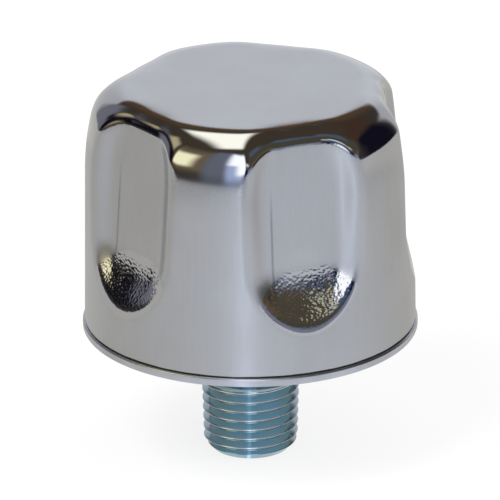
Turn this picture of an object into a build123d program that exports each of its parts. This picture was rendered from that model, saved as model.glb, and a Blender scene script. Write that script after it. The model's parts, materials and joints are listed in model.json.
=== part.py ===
"""Hydraulic filler breather: a fluted pressed-steel cap on a pipe-thread nipple.

Z is the thread axis, up towards the cap. The origin is the centre of the nipple's
lower end face. All sizes are in millimetres.
"""
from build123d import *
from math import atan2, cos, hypot, radians, sin, sqrt, tan
import os

os.makedirs("parts", exist_ok=True)

# --- cap shell, drawn from sheet ------------------------------------------------
sheet = 0.8                 # wall of the drawn cap
rim_radius = 23.46          # outside of the skirt at its sheared lower edge
overall_height = 54.6       # nipple end to the cap's flat top
skirt_draft = 0.54          # degrees that the skirt leans in
shoulder_lean = 12.0        # degrees where the long shoulder curve meets the short one
long_curve = 37.7           # radius of the upper skirt's slow curve
short_curve = 6.0           # radius of the roll into the flat top

# --- finger flutes pressed into the cap -----------------------------------------
flute_count = 5
punch_radius = 13.0         # round-nosed punch
flute_depth = 2.9           # below the skirt, at the flute's middle
flute_rise = 15.5           # skirt's lower edge to the centre of the punch's round end
flute_lean = 5.0            # degrees that the flute's floor leans in towards the top
flute_edge = 2.0            # roll-over along a flute's edges

# --- base plate, a shallow pressed pan ------------------------------------------
plate = 0.9                 # wall of the base plate
lip_overhang = 0.29         # flange beyond the skirt that stands on it
lip_height = 18.8           # underside of that flange
pan_depth = 5.2             # flange underside to the raised floor's top face
plate_bend = 0.8            # inside radius of the plate's bends
lip_round = 0.3
inlet_count = 8
inlet_radius = 2.0

# --- nipple, turned in one piece with a 1/4-18 taper pipe thread ----------------
thread_end_radius = 6.63    # crest radius at the small end
thread_length = 11.1
thread_taper = 1 / 32       # radius gained per unit of length, a 1:16 taper on diameter
thread_chamfer = 1.2
neck_radius = 6.7
neck_fillet = 0.8
run_out = 0.3               # height over which the last thread meets the neck
broken_edge = 0.4
air_bore = 4.0              # radius of the air way
collar_radius = 9.5
collar_thick = 2.0
spigot_radius = 6.0         # passes up through the plate
rolled_edge = 1.2           # how far the spigot's end is rolled outwards
rolled_lip = 0.7
strainer_seat = 1.0         # step round the air way that the strainer rests on
strainer_seat_depth = 1.2

# --- rings and gaskets on the nipple --------------------------------------------
gasket_thick = 0.6
gasket_margin = 0.3         # collar left bare outside the gasket
lock_ring_width = 3.0
lock_ring_thick = 1.2
strainer_thick = 0.4
strainer_hole = 0.45
strainer_pitch = 1.35
clip_thick = 0.7
clip_step = 0.4             # clip's inside beyond the air way
baffle_wall = 0.5
baffle_height = 8.1
baffle_round = 1.5
window_width = 4.6
window_height = 3.4
window_count = 4            # even, each cut makes two windows
window_sill = 1.0           # above the baffle's wall

# --- air-inlet screen -----------------------------------------------------------
screen_thick = 0.4
screen_margin = 0.6         # screen beyond the holes on either side
screen_slots = 30
slot_width = 0.9
slot_length = 3.4
retainer_thick = 0.7

# --- filter element -------------------------------------------------------------
seal_margin = 0.6           # end cap beyond the seal
seal_step = 1.6             # seal clear of the lock ring
seal_thick = 1.5
cap_sheet = 0.5             # wall of the element's end caps
element_radius = 15.0
end_cap_rim = 3.5
collar_rise = 3.0
baffle_gap = 0.8            # splash baffle to the end cap's collar
core_wall = 0.45
core_gap = 0.5              # core to the inner folds
core_hole = 1.3
core_hole_rows = 5
core_hole_pairs = 4
potting = 1.0
pleats = 30
media_thick = 1.6           # measured along a radius, through the folded paper
spring_rise = 6.2           # fitted height of the bow
spring_thick = 0.5
spring_width = 8.0
spring_reach = 11.3
spring_foot = 0.8           # flat at the foot of the bow
spring_hole = 1.5

# --- clearances -----------------------------------------------------------------
fit = 0.05                  # between located pieces
plug_fit = 0.1              # pan wall inside the skirt

# --- heights worked out from the above ------------------------------------------
rim_height = lip_height + plate
lip_radius = rim_radius + lip_overhang
floor_top = lip_height + pan_depth
floor_under = floor_top - plate
collar_top = floor_under - gasket_thick
lock_ring_top = floor_top + lock_ring_thick
nipple_top = lock_ring_top + rolled_lip
rolled_lip_radius = spigot_radius + rolled_edge
strainer_seat_radius = air_bore + strainer_seat
lock_ring_radius = spigot_radius + lock_ring_width
seal_top = floor_top + seal_thick
lower_disc_top = seal_top + cap_sheet
media_bottom = lower_disc_top + potting
cap_ceiling = overall_height - sheet
upper_disc_top = cap_ceiling - spring_rise
upper_disc_under = upper_disc_top - cap_sheet
media_top = upper_disc_under - potting
pleat_height = media_top - media_bottom
flute_end_height = rim_height + flute_rise
punch_centre = rim_radius - flute_depth + punch_radius - flute_rise * tan(radians(skirt_draft))


def save(piece, name):
    """Label a finished piece and write it."""
    piece.part.label = name
    export_step(piece.part, f"parts/{name}.step")


def ring(outer, inner, bottom, thick):
    """A flat ring or washer between two radii."""
    with BuildPart() as body:
        with BuildSketch(Plane.XY.offset(bottom)):
            Circle(outer)
            Circle(inner, mode=Mode.SUBTRACT)
        extrude(amount=thick)
    return body


def corner(sketch, radius, height):
    """The sketch's vertex that lies nearest to a point of the half section."""
    point = Vector(radius, height)
    return min(sketch.vertices(), key=lambda v: (Vector(v.X, v.Y) - point).length)


def dome(inset):
    """The cap's form as a filled solid, its walls brought in by inset."""
    lean = radians(skirt_draft)
    turn = radians(shoulder_lean)
    long_r = long_curve - inset
    short_r = short_curve - inset
    top = overall_height - inset
    start_z = top - short_r * (1 - sin(turn)) - long_r * (sin(turn) - sin(lean))
    base_r = rim_radius - inset / cos(lean)
    start_r = base_r - (start_z - rim_height) * tan(lean)
    with BuildPart() as body:
        with BuildSketch(Plane.XZ):
            with BuildLine():
                Line((0, rim_height), (base_r, rim_height))
                Line((base_r, rim_height), (start_r, start_z))
                upper = JernArc((start_r, start_z), (-sin(lean), cos(lean)), long_r, shoulder_lean - skirt_draft)
                roll = JernArc(upper @ 1, upper % 1, short_r, 90 - shoulder_lean)
                Line(roll @ 1, (0, top))
                Line((0, top), (0, rim_height))
            make_face()
        revolve(axis=Axis.Z)
        with PolarLocations(punch_centre, flute_count, start_angle=-90):
            with Locations(Location((0, 0, flute_end_height), (0, -flute_lean, 0))):
                Sphere(punch_radius + inset, mode=Mode.SUBTRACT)
                Cylinder(
                    punch_radius + inset,
                    overall_height,
                    align=(Align.CENTER, Align.CENTER, Align.MIN),
                    mode=Mode.SUBTRACT,
                )
        fillet(flute_rims(body.edges(), inset), flute_edge - inset)
    return body


def flute_rims(edges, inset):
    """The edges where the punch's face meets the skirt, the shoulder and the top."""
    reach = punch_radius + inset
    lean = radians(flute_lean)
    step = radians(360 / flute_count)
    found = []
    for edge in edges:
        middle = edge @ 0.5
        spoke = round((atan2(middle.Y, middle.X) + radians(90)) / step) * step - radians(90)
        out = middle.X * cos(spoke) + middle.Y * sin(spoke) - punch_centre
        side = middle.Y * cos(spoke) - middle.X * sin(spoke)
        rise = middle.Z - flute_end_height
        along = rise * cos(lean) - out * sin(lean)
        across = hypot(out * cos(lean) + rise * sin(lean), side)
        away = across if along > 0 else hypot(across, along)
        seam = abs(along) < 0.01
        if abs(away - reach) < 0.01 and not seam:
            found.append(edge)
    return found


# --- cap shell ------------------------------------------------------------------
outer_form = dome(0)
inner_form = dome(sheet)
with BuildPart() as cap_shell:
    add(outer_form.part)
    add(inner_form.part, mode=Mode.SUBTRACT)
save(cap_shell, "cap_shell")

# --- base plate -----------------------------------------------------------------
pan_outer = rim_radius - sheet - plug_fit - pan_depth * tan(radians(skirt_draft))
inlet_circle = (element_radius + pan_outer - plate) / 2
with BuildPart() as base_plate:
    with BuildSketch(Plane.XZ) as section:
        with BuildLine():
            Polyline(
                (spigot_radius + fit, floor_under),
                (pan_outer - plate, floor_under),
                (pan_outer - plate, lip_height),
                (lip_radius, lip_height),
                (lip_radius, rim_height),
                (pan_outer, rim_height),
                (pan_outer, floor_top),
                (spigot_radius + fit, floor_top),
                close=True,
            )
        make_face()
        fillet(corner(section, pan_outer - plate, floor_under), plate_bend)
        fillet(corner(section, pan_outer, floor_top), plate_bend + plate)
        fillet(corner(section, pan_outer - plate, lip_height), plate_bend)
        fillet(corner(section, lip_radius, lip_height), lip_round)
        fillet(corner(section, lip_radius, rim_height), lip_round)
    revolve(axis=Axis.Z)
    with BuildSketch(Plane.XY.offset(floor_top)):
        with PolarLocations(inlet_circle, inlet_count):
            Circle(inlet_radius)
    extrude(amount=-2 * plate, mode=Mode.SUBTRACT)
save(base_plate, "base_plate")

# --- threaded nipple ------------------------------------------------------------
thread_top_radius = thread_end_radius + thread_length * thread_taper
chamfer_radius = thread_end_radius - thread_chamfer
collar_under = collar_top - collar_thick
seat_height = nipple_top - strainer_seat_depth
with BuildPart() as threaded_nipple:
    with BuildSketch(Plane.XZ) as section:
        with BuildLine():
            Polyline(
                (air_bore, 0),
                (chamfer_radius, 0),
                (thread_end_radius + thread_chamfer * thread_taper, thread_chamfer),
                (thread_top_radius, thread_length),
                (neck_radius, thread_length + run_out),
                (neck_radius, collar_under),
                (collar_radius, collar_under),
                (collar_radius, collar_top),
                (spigot_radius, collar_top),
                (spigot_radius, lock_ring_top),
                (rolled_lip_radius, lock_ring_top),
                (rolled_lip_radius, nipple_top),
                (strainer_seat_radius, nipple_top),
                (strainer_seat_radius, seat_height),
                (air_bore, seat_height),
                close=True,
            )
        make_face()
        fillet(corner(section, neck_radius, collar_under), neck_fillet)
        chamfer(corner(section, collar_radius, collar_under), broken_edge)
        fillet(corner(section, rolled_lip_radius, nipple_top), broken_edge)
        chamfer(corner(section, air_bore, 0), broken_edge)
    revolve(axis=Axis.Z)
save(threaded_nipple, "threaded_nipple")

# --- gasket and lock ring either side of the plate ------------------------------
nipple_gasket = ring(collar_radius - gasket_margin, spigot_radius + fit, collar_top, gasket_thick)
save(nipple_gasket, "nipple_gasket")
lock_ring = ring(lock_ring_radius, spigot_radius + fit, floor_top, lock_ring_thick)
save(lock_ring, "lock_ring")

# --- strainer in the nipple's mouth ---------------------------------------------
with BuildPart() as nipple_strainer:
    with BuildSketch(Plane.XY.offset(seat_height)):
        Circle(strainer_seat_radius - fit)
        with HexLocations(strainer_pitch / sqrt(3), 3, 3, major_radius=False):
            Circle(strainer_hole, mode=Mode.SUBTRACT)
    extrude(amount=strainer_thick)
save(nipple_strainer, "nipple_strainer")
clip_bottom = seat_height + strainer_thick
strainer_clip = ring(strainer_seat_radius - fit, air_bore + clip_step, clip_bottom, clip_thick)
save(strainer_clip, "strainer_clip")

# --- splash baffle, an upturned cup with windows --------------------------------
with BuildPart() as splash_baffle:
    with BuildSketch(Plane.XY.offset(nipple_top)):
        Circle(rolled_lip_radius)
    extrude(amount=baffle_height)
    fillet(splash_baffle.faces().sort_by(Axis.Z)[-1].edges(), baffle_round)
    with BuildSketch(Plane.XY.offset(nipple_top)):
        Circle(rolled_lip_radius - baffle_wall)
    extrude(amount=baffle_height - baffle_wall, mode=Mode.SUBTRACT)
    window_step = 360 / window_count
    for index in range(window_count // 2):
        heading = window_step * (index + 0.5)
        side = Plane.XZ.rotated((0, 0, heading)).offset(-rolled_lip_radius * 2)
        with BuildSketch(side):
            with Locations((0, nipple_top + baffle_wall + window_sill + window_height / 2)):
                Rectangle(window_width, window_height)
        extrude(amount=rolled_lip_radius * 4, mode=Mode.SUBTRACT)
save(splash_baffle, "splash_baffle")

# --- screen over the air inlets, and the ring that holds it ---------------------
screen_inner = inlet_circle - inlet_radius - screen_margin
screen_outer = inlet_circle + inlet_radius + screen_margin
with BuildPart() as inlet_screen:
    with BuildSketch(Plane.XY.offset(floor_top)):
        Circle(screen_outer)
        Circle(screen_inner, mode=Mode.SUBTRACT)
        with PolarLocations(inlet_circle, screen_slots):
            Rectangle(slot_length, slot_width, mode=Mode.SUBTRACT)
    extrude(amount=screen_thick)
save(inlet_screen, "inlet_screen")
screen_top = floor_top + screen_thick
screen_retainer = ring(screen_outer, screen_outer - screen_margin, screen_top, retainer_thick)
save(screen_retainer, "screen_retainer")

# --- element seal ---------------------------------------------------------------
element_seal = ring(element_radius - seal_margin, lock_ring_radius + seal_step, floor_top, seal_thick)
save(element_seal, "element_seal")

# --- element end caps -----------------------------------------------------------
locator = rolled_lip_radius + baffle_gap + cap_sheet
core_inner = locator + fit
core_outer = core_inner + core_wall
with BuildPart() as lower_end_cap:
    with BuildSketch(Plane.XZ) as section:
        with BuildLine():
            Polyline(
                (locator - cap_sheet, seal_top),
                (element_radius, seal_top),
                (element_radius, seal_top + end_cap_rim),
                (element_radius - cap_sheet, seal_top + end_cap_rim),
                (element_radius - cap_sheet, lower_disc_top),
                (locator, lower_disc_top),
                (locator, seal_top + collar_rise),
                (locator - cap_sheet, seal_top + collar_rise),
                close=True,
            )
        make_face()
        fillet(corner(section, element_radius, seal_top), cap_sheet)
        fillet(corner(section, locator - cap_sheet, seal_top), cap_sheet)
    revolve(axis=Axis.Z)
save(lower_end_cap, "lower_end_cap")

with BuildPart() as upper_end_cap:
    with BuildSketch(Plane.XZ) as section:
        with BuildLine():
            Polyline(
                (0, upper_disc_top),
                (element_radius, upper_disc_top),
                (element_radius, upper_disc_top - end_cap_rim),
                (element_radius - cap_sheet, upper_disc_top - end_cap_rim),
                (element_radius - cap_sheet, upper_disc_under),
                (0, upper_disc_under),
                close=True,
            )
        make_face()
        fillet(corner(section, element_radius, upper_disc_top), cap_sheet)
    revolve(axis=Axis.Z)
save(upper_end_cap, "upper_end_cap")

# --- potting rings that the pleats and the core are set in ----------------------
potting_outer = element_radius - cap_sheet - fit
lower_potting = ring(potting_outer, locator + fit, lower_disc_top, potting)
save(lower_potting, "lower_potting")
upper_potting = ring(potting_outer, locator + fit, media_top, potting)
save(upper_potting, "upper_potting")

# --- perforated core ------------------------------------------------------------
with BuildPart() as element_core:
    with BuildSketch(Plane.XY.offset(media_bottom)):
        Circle(core_outer)
        Circle(core_inner, mode=Mode.SUBTRACT)
    extrude(amount=pleat_height)
    row_pitch = pleat_height / core_hole_rows
    for row in range(core_hole_rows):
        level = media_bottom + (row + 0.5) * row_pitch
        stagger = (row % 2) * 90 / core_hole_pairs
        for index in range(core_hole_pairs):
            heading = stagger + index * 180 / core_hole_pairs
            with Locations(Location((0, 0, level), (0, 90, heading))):
                Cylinder(core_hole, 3 * core_outer, mode=Mode.SUBTRACT)
save(element_core, "element_core")

# --- pleated paper --------------------------------------------------------------
fold_outer = potting_outer - fit
pleat_depth = fold_outer - media_thick - core_gap - core_outer


def star(outer, inner):
    """The zigzag outline of the folded paper, crest to valley and back."""
    points = []
    for index in range(2 * pleats):
        radius = inner if index % 2 else outer
        heading = radians(index * 180 / pleats)
        points.append((radius * cos(heading), radius * sin(heading)))
    return points


with BuildPart() as filter_media:
    with BuildSketch(Plane.XY.offset(media_bottom)):
        with BuildLine():
            Polyline(*star(fold_outer, fold_outer - pleat_depth), close=True)
        make_face()
        with BuildLine():
            Polyline(*star(fold_outer - media_thick, fold_outer - pleat_depth - media_thick), close=True)
        make_face(mode=Mode.SUBTRACT)
    extrude(amount=pleat_height)
save(filter_media, "filter_media")

# --- bowed spring that holds the element down -----------------------------------
inner_reach = spring_reach - spring_foot
with BuildPart() as hold_down_spring:
    with BuildSketch(Plane.XZ.offset(-spring_width / 2)):
        with BuildLine():
            ThreePointArc((-spring_reach, upper_disc_top), (0, cap_ceiling), (spring_reach, upper_disc_top))
            Line((spring_reach, upper_disc_top), (inner_reach, upper_disc_top))
            ThreePointArc(
                (inner_reach, upper_disc_top),
                (0, cap_ceiling - spring_thick),
                (-inner_reach, upper_disc_top),
            )
            Line((-inner_reach, upper_disc_top), (-spring_reach, upper_disc_top))
        make_face()
    extrude(amount=spring_width)
    with Locations((0, 0, cap_ceiling)):
        Hole(spring_hole)
save(hold_down_spring, "hold_down_spring")
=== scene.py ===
import json
from math import cos, pi, radians, sin, tan

import bmesh
import bpy
import numpy as np
from mathutils import Matrix, Vector


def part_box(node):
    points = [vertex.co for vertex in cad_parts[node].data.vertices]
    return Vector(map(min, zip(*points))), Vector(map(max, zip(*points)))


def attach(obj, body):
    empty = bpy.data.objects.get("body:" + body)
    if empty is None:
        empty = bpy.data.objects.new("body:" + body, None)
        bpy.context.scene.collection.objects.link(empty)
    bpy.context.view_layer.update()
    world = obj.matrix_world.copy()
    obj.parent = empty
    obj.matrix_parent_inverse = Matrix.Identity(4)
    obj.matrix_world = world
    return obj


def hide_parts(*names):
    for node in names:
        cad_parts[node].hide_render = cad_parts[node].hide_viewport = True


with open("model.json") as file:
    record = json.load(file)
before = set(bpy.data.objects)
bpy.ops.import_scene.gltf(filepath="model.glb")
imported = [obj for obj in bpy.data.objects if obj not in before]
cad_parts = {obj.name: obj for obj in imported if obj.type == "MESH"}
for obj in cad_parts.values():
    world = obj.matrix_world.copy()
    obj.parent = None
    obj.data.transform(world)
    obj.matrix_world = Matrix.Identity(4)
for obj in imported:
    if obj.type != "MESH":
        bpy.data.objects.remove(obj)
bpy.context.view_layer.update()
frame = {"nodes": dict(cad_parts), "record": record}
mm = 0.001

# the whole breather, in millimetres from the lower end of its thread
breather = {
    "rimHeight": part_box("base_plate")[0][2] / mm + 0.9,  # the skirt ends on the lip's upper face
    "topHeight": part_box("cap_shell")[1][2] / mm,
    "lipRadius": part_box("base_plate")[1][0] / mm,
    "cameraTurn": -20.9,  # degrees, so that one flute stands to the right of the middle
}


def smoothStep(low, high, value):
    part = np.clip((value - low) / (high - low), 0, 1)
    return part * part * (3 - 2 * part)


def softMax(a, b, width):
    near = np.maximum(width - np.abs(a - b), 0) / width
    return np.maximum(a, b) + near * near * width / 4


def meshPiece(name, points, faces):
    mesh = bpy.data.meshes.new(name)
    mesh.from_pydata([tuple(p) for p in np.asarray(points) * mm], [], faces)
    mesh.update()
    mesh.shade_smooth()
    piece = bpy.data.objects.new(name, mesh)
    bpy.context.scene.collection.objects.link(piece)
    return piece


def gridFaces(rows, columns, first=0, turned=False):
    faces = []
    for i in range(rows - 1):
        for j in range(columns):
            k = (j + 1) % columns
            a = first + i * columns + j
            b = first + i * columns + k
            c = first + (i + 1) * columns + k
            d = first + (i + 1) * columns + j
            faces.append((d, c, b, a) if turned else (a, b, c, d))
    return faces


def weld(piece, distance=0.0004):
    work = bmesh.new()
    work.from_mesh(piece.data)
    bmesh.ops.remove_doubles(work, verts=work.verts, dist=distance * mm)
    bmesh.ops.dissolve_degenerate(work, edges=work.edges, dist=distance * mm)
    bmesh.ops.recalc_face_normals(work, faces=work.faces)
    work.to_mesh(piece.data)
    work.free()
    piece.data.shade_smooth()
    return piece


def lathe(name, profile, columns):
    turns = np.arange(columns) * 2 * pi / columns
    rows = [np.stack([r * np.cos(turns), r * np.sin(turns), np.full(columns, z)], 1) for r, z in profile]
    faces = gridFaces(len(profile), columns)
    last = (len(profile) - 1) * columns
    for j in range(columns):  # close the section's outline
        k = (j + 1) % columns
        faces.append((last + j, last + k, k, j))
    return weld(meshPiece(name, np.concatenate(rows), faces))


def rounded(points, radii, steps=6):
    out = []
    count = len(points)
    for i, (point, radius) in enumerate(zip(points, radii)):
        here = Vector(point)
        if not radius:
            out.append(tuple(here))
            continue
        back = (Vector(points[i - 1]) - here).normalized()
        ahead = (Vector(points[(i + 1) % count]) - here).normalized()
        half = back.angle(ahead) / 2
        reach = radius / tan(half)
        centre = here + (back + ahead).normalized() * radius / sin(half)
        start = here + back * reach - centre
        end = here + ahead * reach - centre
        for step in range(steps + 1):
            part = start.lerp(end, step / steps).normalized() * radius
            out.append(tuple(centre + part))
    return out


def placesOf(mesh):
    place = np.zeros(len(mesh.vertices) * 3)
    mesh.vertices.foreach_get("co", place)
    return place.reshape(-1, 3) / mm


def layOver(mesh, masks):
    for name, values in masks.items():
        layer = mesh.attributes.new(name, "FLOAT", "POINT")
        layer.data.foreach_set("value", values.astype(np.float32))


# wraps a shader value, so that sums and products of values add Math nodes
class Val:
    def __init__(self, graph, socket):
        self.graph = graph
        self.socket = socket

    def maths(self, operation, *others, clamp=False):
        node = self.graph.tree.nodes.new("ShaderNodeMath")
        node.operation = operation
        node.use_clamp = clamp
        for place, value in enumerate((self,) + others):
            self.graph.feed(node.inputs[place], value)
        return Val(self.graph, node.outputs[0])

    def __add__(self, other):
        return self.maths("ADD", other)

    def __sub__(self, other):
        return self.maths("SUBTRACT", other)

    def __rsub__(self, other):
        return (self * -1) + other

    def __mul__(self, other):
        return self.maths("MULTIPLY", other)

    def __truediv__(self, other):
        return self.maths("DIVIDE", other)

    __radd__ = __add__
    __rmul__ = __mul__

    def power(self, other):
        return self.maths("POWER", other)

    def clamp(self):
        return self.maths("ADD", 0.0, clamp=True)

    def ramp(self, low, high):
        return self.graph.value(
            "ShaderNodeMapRange",
            {"interpolation_type": "SMOOTHSTEP"},
            {"Value": self, "From Min": low, "From Max": high},
        )


class Graph:
    def __init__(self, tree):
        self.tree = tree
        tree.nodes.clear()

    def feed(self, socket, value):
        if isinstance(value, Val):
            value = value.socket
        if isinstance(value, bpy.types.NodeSocket):
            self.tree.links.new(value, socket)
        else:
            socket.default_value = value

    def node(self, kind, settings=None, sockets=None):
        made = self.tree.nodes.new(kind)
        for key, value in (settings or {}).items():
            setattr(made, key, value)
        for key, value in (sockets or {}).items():
            self.feed(made.inputs[key], value)
        return made

    def value(self, kind, settings=None, sockets=None, out=0):
        return Val(self, self.node(kind, settings, sockets).outputs[out])

    def along(self, vector, direction):
        settings = {"operation": "DOT_PRODUCT"}
        return self.value("ShaderNodeVectorMath", settings, {0: vector, 1: tuple(direction)}, out="Value")

    def maths(self, operation, first, second):
        return self.value("ShaderNodeMath", {"operation": operation}, {0: first, 1: second})

    def mixColour(self, factor, first, second):
        node = self.node("ShaderNodeMix", {"data_type": "RGBA"})
        self.feed(node.inputs[0], factor)
        self.feed(node.inputs[6], first)  # the colour inputs are the seventh and eighth
        self.feed(node.inputs[7], second)
        return node.outputs[2]

    def stretched(self, scales):
        place = self.node("ShaderNodeTexCoord")
        turned = self.node("ShaderNodeMapping", None, {"Vector": place.outputs["Object"], "Scale": scales})
        return turned.outputs[0]

    def noise(self, scales, detail=3.0, rough=0.5):
        sockets = {"Vector": self.stretched(scales), "Scale": 1.0, "Detail": detail, "Roughness": rough}
        return self.value("ShaderNodeTexNoise", None, sockets, out="Fac")

    def finish(self, sockets, constants=None):
        shader = self.node("ShaderNodeBsdfPrincipled", None, sockets)
        for key, value in (constants or {}).items():
            shader.inputs[key].default_value = value
        self.node("ShaderNodeOutputMaterial", None, {"Surface": shader.outputs[0]})


def newMaterial(name):
    material = bpy.data.materials.new(name)
    material.use_nodes = True
    return material, Graph(material.node_tree)


def rgb(r, g, b):
    return (r, g, b, 1.0)


creaseShape = {  # metres, the thin line along one side of each flute: painted shade in the crease, also pressed in as a bump
    "side": 0.0044,
    "width": 0.0003,
    "foot": (0.029, 0.033),
    "head": (0.041, 0.048),
}


def fluteCrease(g, s=creaseShape):
    place = g.node("ShaderNodeTexCoord").outputs["Object"]
    x = g.along(place, (1, 0, 0))
    y = g.along(place, (0, 1, 0))
    z = g.along(place, (0, 0, 1))
    step = 2 * pi / capShape["flutes"]
    heading = g.maths("ARCTAN2", y, x) + pi / 2
    turn = heading - (heading / step).maths("ROUND") * step
    side = turn.maths("SINE") * (x * x + y * y).power(0.5)
    line = 1 - (side + s["side"]).maths("ABSOLUTE").ramp(0.0, s["width"])
    return line * z.ramp(*s["foot"]) * (1 - z.ramp(*s["head"]))


def capSteel():
    look = {
        "satin": rgb(0.50, 0.515, 0.545),
        "worn": rgb(0.47, 0.475, 0.49),
        "bright": rgb(0.51, 0.515, 0.53),
        "creaseShade": rgb(0.10, 0.11, 0.13),
        "satinRough": 0.30,
        "brightRough": 0.07,
        "relief": 0.00004,
        "pitting": 1.1,
    }
    material, g = newMaterial("satinPressedSteel")
    polish = g.value("ShaderNodeAttribute", {"attribute_name": "polish"}, out="Fac")
    peel = g.value("ShaderNodeAttribute", {"attribute_name": "peel"}, out="Fac")
    cloud = g.noise((90, 90, 60), detail=4.0)
    streak = g.noise((2600, 2600, 90), detail=3.0, rough=0.6)
    grain = g.noise((5200, 5200, 3600), detail=2.0)
    cells = g.value(
        "ShaderNodeTexVoronoi",
        {"feature": "SMOOTH_F1"},
        {"Vector": g.stretched((2300, 2300, 2300)), "Scale": 1.0, "Smoothness": 0.6},
        out="Distance",
    )
    crease = fluteCrease(g)
    wear = (cloud.ramp(0.42, 0.66) * 0.7 + streak.ramp(0.35, 0.75) * 0.3).clamp()
    satin = g.mixColour(wear, look["satin"], look["worn"])
    colour = g.mixColour(polish * 0.6, satin, look["bright"])
    # painted shade: a dark line along one side of each flute, where the crease lies in shade
    colour = g.mixColour(crease * 0.45, colour, look["creaseShade"])
    satinRough = look["satinRough"] + (cloud - 0.5) * 0.10 + (streak - 0.5) * 0.06
    brightRough = look["brightRough"] + peel * 0.05
    rough = satinRough * (1 - polish) + brightRough * polish
    brushed = streak * (1 - polish) * 0.15 + grain * (1 - polish) * 0.12
    height = brushed + cells * peel * look["pitting"] - crease * 0.5
    bump = g.node("ShaderNodeBump", None, {"Strength": 1.0, "Distance": look["relief"], "Height": height})
    g.finish({"Base Color": colour, "Roughness": rough, "Normal": bump.outputs[0]}, {"Metallic": 1.0})
    return material


metalGrain = {"cloud": (180, 180, 180), "grain": (900, 900, 900), "relief": 0.00001, "roughSwing": 0.12}


def metal(name, light, dark, rough, s=metalGrain):
    material, g = newMaterial(name)
    cloud = g.noise(s["cloud"], detail=4.0)
    grain = g.noise(s["grain"], detail=3.0)
    colour = g.mixColour(cloud.ramp(0.3, 0.7), light, dark)
    gloss = rough + (cloud - 0.5) * s["roughSwing"] + (grain - 0.5) * s["roughSwing"]
    bump = g.node("ShaderNodeBump", None, {"Strength": 0.6, "Distance": s["relief"], "Height": grain})
    g.finish({"Base Color": colour, "Roughness": gloss, "Normal": bump.outputs[0]}, {"Metallic": 1.0})
    return material


def plain(name, light, dark, rough, scales=(700, 700, 700), depth=0.00003):
    material, g = newMaterial(name)
    cloud = g.noise((250, 250, 250), detail=4.0)
    grain = g.noise(scales, detail=4.0, rough=0.6)
    colour = g.mixColour(cloud.ramp(0.3, 0.7), light, dark)
    gloss = rough + (grain - 0.5) * 0.2
    bump = g.node("ShaderNodeBump", None, {"Strength": 0.7, "Distance": depth, "Height": grain})
    g.finish({"Base Color": colour, "Roughness": gloss, "Normal": bump.outputs[0]}, {"Metallic": 0.0})
    return material


def zincPlate():
    look = {
        "flank": rgb(0.34, 0.50, 0.58),
        "neck": rgb(0.22, 0.37, 0.45),
        "dulled": rgb(0.42, 0.50, 0.50),
        "crestHighlight": rgb(0.80, 0.76, 0.76),
        "rough": 0.17,
        "relief": 0.000008,
    }
    material, g = newMaterial("blueZincPlate")
    crest = g.value("ShaderNodeAttribute", {"attribute_name": "crest"}, out="Fac")
    groove = g.value("ShaderNodeAttribute", {"attribute_name": "groove"}, out="Fac")
    cloud = g.noise((300, 300, 300), detail=4.0)
    turned = g.noise((120, 120, 9000), detail=2.0)
    base = g.mixColour(groove, look["neck"], look["flank"])
    tinted = g.mixColour(cloud.ramp(0.35, 0.75) * 0.35, base, look["dulled"])
    # painted highlight: the thread's crests are painted pale
    colour = g.mixColour(crest, tinted, look["crestHighlight"])
    rough = look["rough"] + (cloud - 0.5) * 0.12 + (turned - 0.5) * 0.08
    bump = g.node("ShaderNodeBump", None, {"Strength": 0.6, "Distance": look["relief"], "Height": turned})
    g.finish({"Base Color": colour, "Roughness": rough, "Normal": bump.outputs[0]}, {"Metallic": 1.0})
    return material


print("stage: frame loaded")

capShape = {
    "sheet": 0.8,
    "rimRadius": 23.46,
    "draft": 0.54,  # degrees that the skirt leans in
    "lean": 12.0,  # degrees at the end of the long curve
    "longCurve": 37.7,
    "shortCurve": 6.0,
    "flutes": 5,
    "floorRadius": 20.41,
    "punchLean": 4.2,
    "ball": 13.0,  # the punch's round foot
    "ballHeight": 35.4,
    "barHalf": 4.3,  # flat face of the punch above its foot
    "barCurve": 4.5,
    "barFoot": 8.6,
    "barShoulder": 45.5,  # the flat face narrows above this height
    "barHead": 9.6,
    "footEdge": 1.5,
    "sideEdge": 1.7,
    "topEdge": 4.8,
    "topSlack": 3.4,  # how much wider than deep the flute's upper roll is
    "punchBlend": 0.4,
    "topBlend": (50.5, 54),  # heights between which the upper roll takes over
    "sideBlend": (30, 38),  # and those where the foot's edge becomes the side's
    "columns": 480,
    "seamGap": 0.13,
    "seamRipple": ((0.02, 7, 1), (0.015, 17, 2.2), (0.01, 41, 0)),  # height, waves, phase
    "rimRoll": 0.22,
    "innerStep": 4,  # outer columns to one inner column
}


# distances outside the uncut dome, the punch and the finished cap: negative is inside
def domeDistance(r, z, s=capShape):
    lean = radians(s["draft"])
    turn = radians(s["lean"])
    longR = s["longCurve"]
    shortR = s["shortCurve"]
    top = breather["topHeight"]
    startZ = top - shortR * (1 - sin(turn)) - longR * (sin(turn) - sin(lean))
    startR = s["rimRadius"] - (startZ - breather["rimHeight"]) * tan(lean)
    longX = startR - longR * cos(lean)
    longZ = startZ - longR * sin(lean)
    shortX = longX + (longR - shortR) * cos(turn)
    shortZ = longZ + (longR - shortR) * sin(turn)
    angle = np.arctan2(z - longZ, r - longX)
    skirt = (r - startR) * cos(lean) + (z - startZ) * sin(lean)
    upper = np.hypot(r - longX, z - longZ) - longR
    roll = np.hypot(r - shortX, z - shortZ) - shortR
    flat = z - top
    beyond = np.where(r > shortX, roll, flat)
    return np.where(angle < lean, skirt, np.where(angle < turn, upper, beyond))


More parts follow.
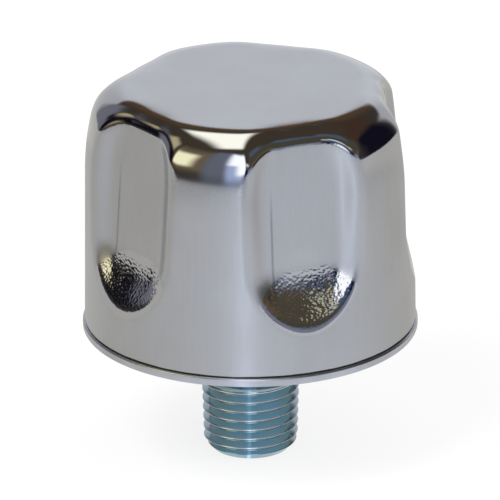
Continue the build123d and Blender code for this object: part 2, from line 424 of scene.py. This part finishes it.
def punchDistance(x, y, z, s=capShape):
    step = 2 * pi / s["flutes"]
    heading = np.arctan2(y, x) + pi / 2
    spoke = np.round(heading / step) * step - pi / 2
    out = x * np.cos(spoke) + y * np.sin(spoke) - s["floorRadius"]
    side = -x * np.sin(spoke) + y * np.cos(spoke)
    rise = z - s["ballHeight"]
    lean = radians(s["punchLean"])
    along = np.minimum(rise * cos(lean) - out * sin(lean), 0) / s["barFoot"]
    proud = out * cos(lean) + rise * sin(lean)
    above = np.maximum(z - s["barShoulder"], 0) / s["barHead"]
    half = s["barHalf"] * np.sqrt(np.clip(1 - along * along, 0, 1) * np.clip(1 - above * above, 0, 1))
    depth = np.minimum(proud - s["barCurve"], 0)
    wide = np.maximum(np.abs(side) - half, 0)
    bar = np.sqrt(depth**2 + wide**2 + (along * s["barCurve"]) ** 2) - s["barCurve"]
    ball = np.sqrt((out - s["ball"]) ** 2 + side**2 + rise**2) - s["ball"]
    return -softMax(-bar, -ball, s["punchBlend"])


def capDistance(x, y, z, s=capShape):
    high = smoothStep(*s["topBlend"], z)
    edge = s["footEdge"] + (s["sideEdge"] - s["footEdge"]) * smoothStep(*s["sideBlend"], z)
    edge = edge + (s["topEdge"] - edge) * high
    slack = 1 + (s["topSlack"] - 1) * high
    return softMax(domeDistance(np.hypot(x, y), z) * slack, -punchDistance(x, y, z), edge)


casting = {"near": 8.0, "far": 40.0, "halvings": 34}


# where rays from the axis leave the cap
def castOut(origin, direction, inset=0.0, s=casting):
    near = np.full(direction.shape[:-1], s["near"])
    far = np.full(direction.shape[:-1], s["far"])
    for _ in range(s["halvings"]):
        middle = (near + far) / 2
        p = origin + direction * middle[..., None]
        inside = capDistance(p[..., 0], p[..., 1], p[..., 2]) + inset < 0
        near = np.where(inside, middle, near)
        far = np.where(inside, far, middle)
    return origin + direction * near[..., None]


def capRows(heights, fans, columns, inset=0.0):
    turns = np.arange(columns) * 2 * pi / columns
    rows = []
    for height in heights:
        flat = np.stack([np.cos(turns), np.sin(turns), np.zeros(columns)], 1)
        rows.append(castOut(np.array([0, 0, height]), flat, inset))
    for rise in fans:
        ray = np.stack([np.cos(turns) * cos(rise), np.sin(turns) * cos(rise), np.full(columns, sin(rise))], 1)
        rows.append(castOut(np.array([0, 0, heights[-1]]), ray, inset))
    return np.stack(rows)


def makeCap(s=capShape):
    rim = breather["rimHeight"]
    columns = s["columns"]
    inColumns = columns // s["innerStep"]
    middle = 42  # height of the point that the upper rows fan out from
    heights = np.concatenate([np.linspace(rim + 0.6, 25, 8, endpoint=False), np.linspace(25, middle, 52)])
    fans = np.linspace(0, pi / 2, 112)[1:-1]
    outer = capRows(heights, fans, columns)
    turns = np.arange(columns) * 2 * pi / columns
    ripple = sum(size * np.sin(waves * turns + phase) for size, waves, phase in s["seamRipple"])
    foot = rim + s["seamGap"] + ripple
    edge = []
    for part in (1.0, 0.75, 0.5, 0.25, 0.0):  # the sheared edge rolls under
        turn = part * pi / 2
        r = s["rimRadius"] - s["rimRoll"] * (1 - cos(turn))
        z = foot + s["rimRoll"] * (1 - sin(turn))
        edge.append(np.stack([r * np.cos(turns), r * np.sin(turns), z], 1))
    inR = s["rimRadius"] - s["sheet"]
    edge.insert(0, np.stack([inR * np.cos(turns), inR * np.sin(turns), foot + 0.05], 1))
    outerRows = np.concatenate([np.stack(edge), outer])
    points = outerRows.reshape(-1, 3)
    faces = gridFaces(len(outerRows), columns)
    pole = len(points)
    points = np.concatenate([points, [[0, 0, breather["topHeight"]]]])
    last = pole - columns
    faces += [(last + j, last + (j + 1) % columns, pole) for j in range(columns)]
    inHeights = np.linspace(rim + 0.5, middle, 26)
    inner = capRows(inHeights, np.linspace(0, pi / 2, 34)[1:-1], inColumns, s["sheet"])
    first = len(points)
    points = np.concatenate([points, inner.reshape(-1, 3), [[0, 0, breather["topHeight"] - s["sheet"]]]])
    faces += gridFaces(len(inner), inColumns, first, turned=True)
    tip = len(points) - 1
    last = tip - inColumns
    faces += [(tip, last + (j + 1) % inColumns, last + j) for j in range(inColumns)]
    for j in range(inColumns):  # join the inner wall to the sheared edge
        k = (j + 1) % inColumns
        ring = [(s["innerStep"] * j + n) % columns for n in range(s["innerStep"] + 1)]
        faces.append(tuple([first + j, first + k] + ring[::-1]))
    return meshPiece("capSkin", points, faces)


polishShape = {
    "tilt": 0.11,  # of the surface, at which the satin gives way to polish
    "tiltSpan": 0.09,
    "footTilt": 0.025,  # how much sooner it does in a flute's foot
    "footSpan": 0.04,
    "topDulling": 0.45,
    "topTilt": (0.985, 0.9995),
    "footHeights": (43, 45),
    "rimHeights": (23.5, 26.0),
    "archTop": 34.9,  # the polish in a flute's foot ends in an arch
    "archBend": 0.07,
    "archSide": 0.8,
    "archSoft": 0.3,
    "peelDepths": (0.1, 0.8),
}


def markCap(piece, s=polishShape):
    mesh = piece.data
    normals = np.zeros(len(mesh.vertices) * 3)
    mesh.vertex_normals.foreach_get("vector", normals)
    lift = np.abs(normals.reshape(-1, 3)[:, 2])
    x, y, z = placesOf(mesh).T
    r = np.hypot(x, y)
    foot = 1 - smoothStep(*s["footHeights"], z)
    start = s["tilt"] - s["footTilt"] * foot
    polish = smoothStep(start, start + s["tiltSpan"] - s["footSpan"] * foot, lift)
    polish *= 1 - s["topDulling"] * smoothStep(*s["topTilt"], lift)
    step = 2 * pi / capShape["flutes"]
    heading = np.arctan2(y, x) + pi / 2
    side = r * np.sin(heading - step * np.round(heading / step))
    arch = s["archTop"] - s["archBend"] * (side - s["archSide"]) ** 2 - z
    polish *= 1 - foot * (1 - smoothStep(-s["archSoft"], s["archSoft"], arch))
    polish *= smoothStep(*s["rimHeights"], z)
    peel = polish * smoothStep(*s["peelDepths"], -domeDistance(r, z)) * foot
    layOver(mesh, {"polish": polish, "peel": peel})


capSkin = makeCap()
markCap(capSkin)
capSkin.data.materials.append(capSteel())
print("stage: cap shell")

nippleShape = {
    "pitch": 25.4 / 18,
    "length": 11.1,
    "endRadius": 6.63,
    "taper": 1 / 32,
    "depth": 1.10,
    "crestFlat": 0.07,
    "chamfer": 1.2,
    "firstCrest": 2.03,
    "neckRadius": 6.7,
    "bore": 4.0,
    "boreChamfer": 0.4,
    "runOut": 0.4,  # height over which the thread's envelope meets the neck
    "fade": (-1.1, 0.1),  # where the last groove shallows, from the thread's end
    "grooveEnd": 0.6,
    # depths under the crest over which the painted crest highlight fades
    "crestHighlightDepths": (0.02, 0.13),
    "collarRadius": 9.5,
    "collarChamfer": 0.4,
    "collarThick": 2.0,
    "neckCurve": ((0.18, 0.2), (0.6, 0.0)),  # radius past the neck, height under the collar
    "plugRadius": 6.0,
    "rolledRadius": 7.2,
    "mouthRadius": 5.0,
    "columns": 160,
    "perPitch": 22,
}


def threadWave(phase, flat):
    away = np.abs((phase % 1.0) - 0.5) * 2
    return np.clip((away - flat) / (1 - 2 * flat), 0, 1)


def makeThread(s=nippleShape):
    columns = s["columns"]
    per = s["perPitch"]
    pitch = s["pitch"]
    end = s["length"] + s["runOut"]
    rows = int((end / pitch + 2) * per) + 1
    turns = np.arange(columns) * 2 * pi / columns
    facing = radians(breather["cameraTurn"]) - pi / 2
    i, j = np.meshgrid(np.arange(rows), np.arange(columns), indexing="ij")
    z = pitch * (i / per - 1 + j / columns)
    z = np.clip(z, 0, end)
    around = (turns[j] - facing) / (2 * pi)
    phase = (z - s["firstCrest"]) / pitch - around + 0.5
    wave = threadWave(phase, s["crestFlat"])
    fade = 1 - smoothStep(*[s["length"] + reach for reach in s["fade"]], z)
    crest = s["endRadius"] + z * s["taper"]
    cut = crest - s["depth"] * wave * fade
    neck = s["neckRadius"]
    cut = np.where(z > s["length"], np.minimum(cut, neck + (end - z) / s["runOut"] * (crest - neck)), cut)
    cut = np.minimum(cut, s["endRadius"] - s["chamfer"] + z)
    points = np.stack([cut * np.cos(turns[j]), cut * np.sin(turns[j]), z], -1).reshape(-1, 3)
    faces = []
    for a in range(rows - 1):
        for b in range(columns):
            if b < columns - 1:
                quad = (a * columns + b, a * columns + b + 1, (a + 1) * columns + b + 1, (a + 1) * columns + b)
            else:  # one turn later the rows have climbed by a pitch
                if a + 1 + per >= rows:
                    continue
                quad = (a * columns + b, (a + per) * columns, (a + 1 + per) * columns, (a + 1) * columns + b)
            heights = [z.reshape(-1)[v] for v in quad]
            if max(heights) - min(heights) > 1e-9:
                faces.append(quad)
    return points, faces


def makeNipple(s=nippleShape):
    points, faces = makeThread(s)
    columns = s["columns"]
    turns = np.arange(columns) * 2 * pi / columns
    end = s["length"] + s["runOut"]
    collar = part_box("nipple_gasket")[0][2] / mm
    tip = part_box("threaded_nipple")[1][2] / mm
    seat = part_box("nipple_strainer")[0][2] / mm
    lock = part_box("lock_ring")[1][2] / mm
    under = collar - s["collarThick"]
    neck = s["neckRadius"]
    wide = s["collarRadius"]
    broken = s["collarChamfer"]
    outline = [
        (neck, end),
        (neck, under - 0.6),
        *[(neck + past, under - below) for past, below in s["neckCurve"]],
        (wide - broken, under),
        (wide, under + broken),
        (wide, collar),
        (s["plugRadius"], collar),
        (s["plugRadius"], lock),
        (s["rolledRadius"], lock),
        (s["rolledRadius"], tip - 0.4),
        (s["rolledRadius"] - 0.12, tip - 0.12),
        (s["rolledRadius"] - 0.4, tip),
        (s["mouthRadius"], tip),
        (s["mouthRadius"], seat),
        (s["bore"], seat),
        (s["bore"], s["boreChamfer"]),
        (s["bore"] + s["boreChamfer"], 0),
        (s["endRadius"] - s["chamfer"], 0),
    ]
    rings = [np.stack([r * np.cos(turns), r * np.sin(turns), np.full(columns, z)], 1) for r, z in outline]
    first = len(points)
    faces = faces + gridFaces(len(outline), columns, first)
    piece = meshPiece("nippleBody", np.concatenate([points] + rings), faces)
    weld(piece, 0.002)
    x, y, z = placesOf(piece.data).T
    r = np.hypot(x, y)
    below = s["endRadius"] + z * s["taper"] - r
    threaded = (z < s["length"]) & (r > 5.2)
    groove = np.where(threaded, 1 - smoothStep(s["length"] - s["grooveEnd"], s["length"], z), 0)
    # painted highlight on the crests, fading away from their tips
    crestHighlight = np.where(threaded, groove * (1 - smoothStep(*s["crestHighlightDepths"], below)), 0)
    layOver(piece.data, {"crest": crestHighlight, "groove": groove})
    piece.data.materials.append(zincPlate())
    return piece


nippleBody = makeNipple()
print("stage: threaded nipple")

plateShape = {
    "plate": 0.9,
    "depth": 5.2,
    "panOuter": 22.51,
    "centreHole": 6.05,
    "bend": 0.8,
    "lipDrop": 0.4,  # the flange's edge is turned down by this
    "lipWide": 0.9,
    "lipSlope": 0.4,
    "lipRounds": (0.2, 0.2, 0.45, 0.3),
    "holes": 8,
    "holeRadius": 2.0,
    "holeCircle": 18.31,
    "columns": 288,
}


def makePlate(s=plateShape):
    low = breather["rimHeight"] - s["plate"]
    high = low + s["depth"]
    lip = breather["lipRadius"]
    inside = s["panOuter"] - s["plate"]
    drop = low - s["lipDrop"]
    corners = [
        (s["centreHole"], high - s["plate"]),
        (inside, high - s["plate"]),
        (inside, low),
        (lip - s["lipWide"] - s["lipSlope"], low),
        (lip - s["lipWide"], drop),
        (lip, drop),
        (lip, low + s["plate"]),
        (s["panOuter"], low + s["plate"]),
        (s["panOuter"], high),
        (s["centreHole"], high),
    ]
    radii = [0, s["bend"], s["bend"], *s["lipRounds"], 0, s["bend"] + s["plate"], 0]
    return lathe("basePan", rounded(corners, radii), s["columns"])


def pierce(piece, sizes):
    tree = bpy.data.node_groups.new("ringOfHoles", "GeometryNodeTree")
    face = tree.interface
    face.new_socket("Geometry", in_out="INPUT", socket_type="NodeSocketGeometry")
    inputs = {}
    for name in sizes:
        kind = "NodeSocketInt" if name == "Holes" else "NodeSocketFloat"
        inputs[name] = face.new_socket(name, in_out="INPUT", socket_type=kind).identifier
    face.new_socket("Geometry", in_out="OUTPUT", socket_type="NodeSocketGeometry")
    make = tree.nodes.new
    link = tree.links.new
    given = make("NodeGroupInput")
    result = make("NodeGroupOutput")
    circle = make("GeometryNodeMeshCircle")
    link(given.outputs["Holes"], circle.inputs["Vertices"])
    link(given.outputs["Circle"], circle.inputs["Radius"])
    lift = make("GeometryNodeTransform")
    up = make("ShaderNodeCombineXYZ")
    link(given.outputs["Level"], up.inputs["Z"])
    link(circle.outputs[0], lift.inputs["Geometry"])
    link(up.outputs[0], lift.inputs["Translation"])
    drill = make("GeometryNodeMeshCylinder")
    drill.inputs["Vertices"].default_value = 48
    link(given.outputs["Hole Radius"], drill.inputs["Radius"])
    link(given.outputs["Depth"], drill.inputs["Depth"])
    spread = make("GeometryNodeInstanceOnPoints")
    link(lift.outputs[0], spread.inputs["Points"])
    link(drill.outputs["Mesh"], spread.inputs["Instance"])
    solid = make("GeometryNodeRealizeInstances")
    link(spread.outputs[0], solid.inputs[0])
    cut = make("GeometryNodeMeshBoolean")
    cut.operation = "DIFFERENCE"
    cut.solver = "EXACT"
    link(given.outputs["Geometry"], cut.inputs[0])
    link(solid.outputs[0], cut.inputs[1])
    real = make("GeometryNodeRealizeInstances")
    link(cut.outputs[0], real.inputs[0])
    coat = make("GeometryNodeSetMaterial")
    coat.inputs["Material"].default_value = piece.data.materials[0]
    link(real.outputs[0], coat.inputs["Geometry"])
    link(coat.outputs[0], result.inputs[0])
    modifier = piece.modifiers.new("holes", "NODES")
    modifier.node_group = tree
    for name, value in sizes.items():
        modifier[inputs[name]] = value
    graph = bpy.context.evaluated_depsgraph_get()
    mesh = bpy.data.meshes.new_from_object(piece.evaluated_get(graph))
    piece.modifiers.remove(modifier)
    piece.data = mesh


basePan = makePlate()
basePan.data.materials.append(metal("satinPlate", rgb(0.58, 0.61, 0.67), rgb(0.50, 0.52, 0.56), 0.30))
pierce(
    basePan,
    {
        "Holes": plateShape["holes"],
        "Circle": plateShape["holeCircle"] * mm,
        "Level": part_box("base_plate")[1][2] - plateShape["plate"] * mm / 2,
        "Hole Radius": plateShape["holeRadius"] * mm,
        "Depth": 4 * plateShape["plate"] * mm,
    },
)
basePan.data.set_sharp_from_angle(angle=radians(35))
print("stage: base plate")

finishes = {
    "ring_steel": metal("plainZinc", rgb(0.58, 0.58, 0.60), rgb(0.48, 0.48, 0.50), 0.28),
    "screen_steel": metal("piercedStrip", rgb(0.54, 0.54, 0.55), rgb(0.42, 0.42, 0.43), 0.32),
    "end_cap_steel": metal("tinnedStrip", rgb(0.60, 0.61, 0.63), rgb(0.52, 0.53, 0.54), 0.25),
    "spring_steel": metal("bluedSpring", rgb(0.20, 0.22, 0.28), rgb(0.12, 0.13, 0.17), 0.30),
    "strainer_brass": metal("piercedBrass", rgb(0.74, 0.56, 0.26), rgb(0.60, 0.43, 0.18), 0.30),
    "rubber": plain("blackRubber", rgb(0.022, 0.022, 0.023), rgb(0.035, 0.035, 0.034), 0.62),
    "potting": plain("amberAdhesive", rgb(0.55, 0.42, 0.20), rgb(0.45, 0.33, 0.15), 0.40),
    "filter_paper": plain(
        "filterPaper", rgb(0.78, 0.68, 0.46), rgb(0.70, 0.59, 0.38), 0.85, (1800, 1800, 400), 0.00006
    ),
}
slots = {entry["node"]: entry["material_slot"] for entry in frame["record"]["subparts"]}
replaced = {"cap_shell": capSkin, "threaded_nipple": nippleBody, "base_plate": basePan}
for node, piece in replaced.items():
    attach(piece, "root")
    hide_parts(node)
for node, item in frame["nodes"].items():
    if node in replaced:
        continue
    item.data.materials.clear()
    item.data.materials.append(finishes[slots[node]])
print("stage: inner pieces finished")

studio = {
    "elevation": 21.85,
    "roll": -0.24,
    "distance": 1.6,
    "frameWidth": 0.07075,
    "aim": 0.0297,
    "floorRadius": 0.75,
    "floorSides": 96,
    "cameraGlow": 0.8,
    "glossyGlow": 0.92,
    "stripeTurn": -3.0,  # degrees from the camera, a bright strip of painted light on the floor that only reflections show
    "stripeShare": 0.8,
    "keyPower": 9.0,
    "fillPower": 5.0,
    "lampSize": (0.5, 0.5),
    "sensor": 36,
}
turn = radians(breather["cameraTurn"])
rise = radians(studio["elevation"])
towards = Vector((sin(turn), -cos(turn), 0))
across = Vector((cos(turn), sin(turn), 0))


def makeFloor():
    columns = studio["floorSides"]
    turns = np.arange(columns) * 2 * pi / columns
    edge = studio["floorRadius"] / mm
    rim = [(edge * cos(a), edge * sin(a), 0) for a in turns]
    floor = meshPiece("floor", rim, [tuple(range(columns))])
    material, g = newMaterial("paleFloor")
    path = g.node("ShaderNodeLightPath")
    camera = Val(g, path.outputs["Is Camera Ray"])
    glossy = Val(g, path.outputs["Is Glossy Ray"])
    place = g.node("ShaderNodeTexCoord").outputs["Object"]
    front = g.along(place, towards)
    side = g.along(place, across)
    # painted light: to glossy rays the floor glows, with a bright stripe towards the camera that paints the
    # highlight down the skirt and thread, and darker, warmer flanks
    sheen = g.maths("ARCTAN2", side - front * tan(radians(studio["stripeTurn"])), front)
    stripe = (1 - sheen.maths("ABSOLUTE").ramp(0.01, 0.08)) * studio["stripeShare"]
    turn = g.maths("ARCTAN2", side, front)
    flank = (turn - 0.25).maths("ABSOLUTE").ramp(0.5, 1.7)
    seen = g.mixColour(flank, rgb(0.77, 0.79, 0.83), rgb(0.62, 0.60, 0.56))
    seen = g.mixColour(stripe, seen, rgb(1.50, 1.66, 1.95))
    glow = g.mixColour(glossy, rgb(1, 1, 1), seen)
    matte = g.node("ShaderNodeBsdfDiffuse", None, {"Color": rgb(0.86, 0.86, 0.86)})
    light = g.node("ShaderNodeEmission", None, {"Color": glow, "Strength": 1.0})
    share = camera * studio["cameraGlow"] + glossy * studio["glossyGlow"]
    both = g.node("ShaderNodeMixShader", None, {0: share.clamp(), 1: matte.outputs[0], 2: light.outputs[0]})
    g.node("ShaderNodeOutputMaterial", None, {"Surface": both.outputs[0]})
    floor.data.materials.append(material)


def areaLamp(name, place, power):
    light = bpy.data.lights.new(name, "AREA")
    light.shape = "RECTANGLE"
    light.size, light.size_y = studio["lampSize"]
    light.energy = power
    lamp = bpy.data.objects.new(name, light)
    lamp.location = place
    aim = Vector((0, 0, studio["aim"])) - lamp.location
    lamp.rotation_euler = aim.to_track_quat("-Z", "Y").to_euler()
    lamp.visible_glossy = False  # polished steel would show a hard-edged lamp
    bpy.context.scene.collection.objects.link(lamp)


# a soft studio that polished metal mirrors: zones of light and dark round the breather
def makeWorld():
    world = bpy.data.worlds.new("studio")
    bpy.context.scene.world = world
    world.use_nodes = True
    g = Graph(world.node_tree)
    heading = g.node("ShaderNodeTexCoord").outputs["Generated"]
    side = g.along(heading, across)
    front = g.along(heading, towards)
    high = g.along(heading, (0, 0, 1)).maths("ARCSINE") * (180 / pi)
    turned = g.maths("ARCTAN2", side, front) * (180 / pi)

    def zone(left, right, low, top, soft):
        wide = turned.ramp(left - soft, left + soft) * (1 - turned.ramp(right - soft, right + soft))
        return wide * high.ramp(low - soft, low + soft) * (1 - high.ramp(top - soft, top + soft))

    behind = turned.maths("ABSOLUTE")
    lit = g.mixColour(high.ramp(0, 70), rgb(0.050, 0.045, 0.045), rgb(0.080, 0.060, 0.042))
    room = [  # left, right, low, top, softness in degrees, then colour
        (-150, -108, -20, 38, 6, rgb(0.24, 0.24, 0.29)),
        (-122, -98, 22, 42, 5, rgb(0.02, 0.02, 0.03)),
        (-104, -80, 4, 30, 4, rgb(0.006, 0.006, 0.014)),
        (-95, -62, -15, -4, 4, rgb(0.010, 0.012, 0.020)),
        (-118, -92, 35, 52, 5, rgb(0.75, 0.62, 0.38)),
        (-82, -30, 3, 56, 7, rgb(0.22, 0.17, 0.10)),
        (-77, -44, 13, 44, 5, rgb(1.70, 1.58, 1.05)),
        (-34, -12, -2, 60, 5, rgb(0.20, 0.22, 0.28)),
        (-17, 14, -1, 60, 3, rgb(0.60, 0.72, 1.05)),
        (-9, 13, 3, 30, 3, rgb(1.95, 1.95, 1.95)),
        (-16, 14, 27, 57, 4, rgb(1.95, 1.95, 1.92)),
        (13, 32, -9, 12, 3, rgb(0.006, 0.014, 0.065)),
        (17, 36, 10, 26, 4, rgb(0.09, 0.15, 0.30)),
        (12, 28, 26, 34, 3, rgb(1.10, 1.12, 1.15)),
        (34, 60, -6, 8, 5, rgb(0.30, 0.32, 0.42)),
        (30, 80, 10, 46, 7, rgb(0.105, 0.092, 0.065)),
        (25, 36, 20, 27, 3, rgb(0.95, 0.85, 0.52)),
        (52, 70, 8, 18, 5, rgb(0.20, 0.13, 0.07)),
        (34, 62, 46, 60, 6, rgb(0.12, 0.16, 0.22)),
        (90, 126, -20, 37, 6, rgb(0.008, 0.007, 0.018)),
        (84, 152, 38, 58, 7, rgb(0.085, 0.045, 0.028)),
    ]
    for left, right, low, top, soft, colour in room:
        lit = g.mixColour(zone(left, right, low, top, soft), lit, colour)
    over = g.maths("ARCTAN2", g.along(heading, (0, 0, 1)), front) * (180 / pi)
    strip = (1 - side.ramp(0.03, 0.13)) * side.ramp(-0.32, -0.18)
    ceiling = over.ramp(71, 79) * (1 - over.ramp(122, 132)) * strip
    lit = g.mixColour(ceiling, lit, rgb(1.92, 1.86, 1.62))
    brown = behind.ramp(150, 168) * high.ramp(25, 29) * (1 - high.ramp(38, 50))
    lit = g.mixColour(brown, lit, rgb(0.13, 0.075, 0.04))
    sweep = turned.ramp(126, 138) + (1 - turned.ramp(-154, -146))
    back = turned.ramp(150, 170) + (1 - turned.ramp(-178, -158))
    shade = g.mixColour(back, rgb(0.62, 0.62, 0.64), rgb(0.84, 0.87, 0.91))
    lit = g.mixColour(sweep * (1 - high.ramp(26, 31)), lit, shade)
    path = g.node("ShaderNodeLightPath")
    lit = g.mixColour(Val(g, path.outputs["Is Camera Ray"]), lit, rgb(1, 1, 1))
    sharp = (Val(g, path.outputs["Is Camera Ray"]) + Val(g, path.outputs["Is Glossy Ray"])).clamp()
    colour = g.mixColour(sharp, rgb(0.8, 0.8, 0.8), lit)
    sky = g.node("ShaderNodeBackground", None, {"Color": colour, "Strength": 1.0})
    g.node("ShaderNodeOutputWorld", None, {"Surface": sky.outputs[0]})


def makeCamera():
    data = bpy.data.cameras.new("camera")
    data.sensor_width = studio["sensor"]
    data.lens = studio["sensor"] * studio["distance"] / studio["frameWidth"]
    data.clip_start = 0.05
    data.clip_end = 20
    camera = bpy.data.objects.new("camera", data)
    aim = Vector((0, 0, studio["aim"]))
    line = towards * cos(rise) + Vector((0, 0, sin(rise)))
    camera.location = aim + line * studio["distance"]
    roll = Matrix.Rotation(radians(studio["roll"]), 3, "Z")
    tilt = (-line).to_track_quat("-Z", "Y").to_matrix() @ roll
    camera.rotation_euler = tilt.to_euler()
    bpy.context.scene.collection.objects.link(camera)
    bpy.context.scene.camera = camera


makeFloor()
makeWorld()
areaLamp("keyLamp", across * -0.5 + towards * 0.5 + Vector((0, 0, 0.9)), studio["keyPower"])
areaLamp("fillLamp", across * 0.8 + towards * 0.2 + Vector((0, 0, 0.6)), studio["fillPower"])
makeCamera()
bpy.context.scene.view_settings.view_transform = "Standard"
print("stage: studio")
